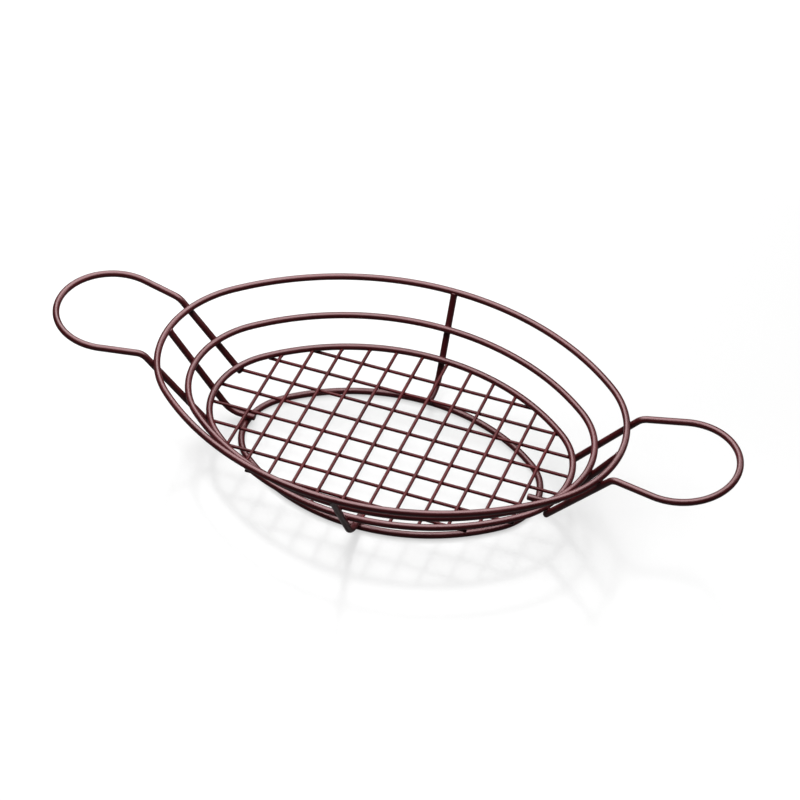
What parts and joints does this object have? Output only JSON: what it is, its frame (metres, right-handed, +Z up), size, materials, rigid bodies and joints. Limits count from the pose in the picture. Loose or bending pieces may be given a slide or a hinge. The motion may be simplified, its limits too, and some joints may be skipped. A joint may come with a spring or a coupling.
{
  "type": "serving basket",
  "caption": "Oval wire serving basket with flared hoops, a square wire floor, a foot ring and a loop handle at each end.",
  "frame": {"origin": "on the table under the middle of the basket", "axes": "+X along the basket's length towards the right handle, +Y to the back, +Z up"},
  "size_m": [0.4198, 0.192, 0.0673],
  "materials": {
    "heavy_wire": "satin red-brown powder coat",
    "thin_wire": "satin red-brown powder coat"
  },
  "bodies": {
    "root": {"rim_hoop": "heavy_wire", "middle_hoop": "heavy_wire", "floor_hoop": "heavy_wire", "foot_ring": "heavy_wire", "back_upright": "heavy_wire", "front_upright": "heavy_wire", "left_upright": "heavy_wire", "right_upright": "heavy_wire", "left_handle": "heavy_wire", "right_handle": "heavy_wire", "long_wire_1": "thin_wire", "long_wire_2": "thin_wire", "long_wire_3": "thin_wire", "long_wire_4": "thin_wire", "long_wire_5": "thin_wire", "long_wire_6": "thin_wire", "long_wire_7": "thin_wire", "long_wire_8": "thin_wire", "cross_wire_1": "thin_wire", "cross_wire_2": "thin_wire", "cross_wire_3": "thin_wire", "cross_wire_4": "thin_wire", "cross_wire_5": "thin_wire", "cross_wire_6": "thin_wire", "cross_wire_7": "thin_wire", "cross_wire_8": "thin_wire", "cross_wire_9": "thin_wire", "cross_wire_10": "thin_wire", "cross_wire_11": "thin_wire", "cross_wire_12": "thin_wire"}
  },
  "joints": []
}
